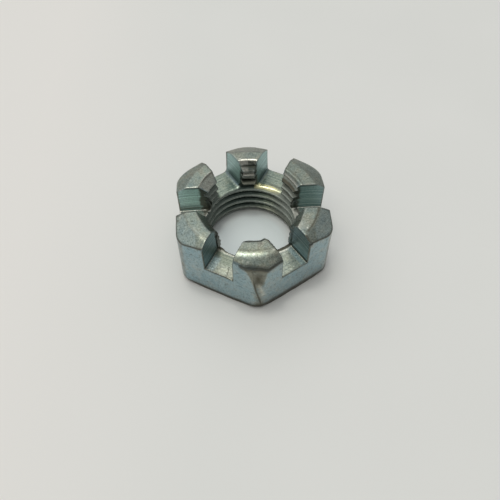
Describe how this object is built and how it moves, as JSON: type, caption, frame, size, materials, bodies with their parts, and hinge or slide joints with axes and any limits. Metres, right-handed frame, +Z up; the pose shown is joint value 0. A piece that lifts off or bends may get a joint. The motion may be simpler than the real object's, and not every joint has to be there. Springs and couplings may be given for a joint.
{
  "type": "castle nut",
  "caption": "Low slotted hexagon nut that screws onto a fine-threaded bolt and is locked by a split pin through its slots.",
  "frame": {"origin": "centre of the flat bottom face, on the thread axis", "axes": "+Z up the thread axis, towards the slotted end; +X through the middle of a flat, -Y through a corner"},
  "size_m": [0.024, 0.027, 0.0114],
  "materials": {
    "zinc_plated_steel": "bright zinc plate with a faint blue-green passivate, satin"
  },
  "bodies": {
    "root": {"castle_nut": "zinc_plated_steel"}
  },
  "joints": []
}
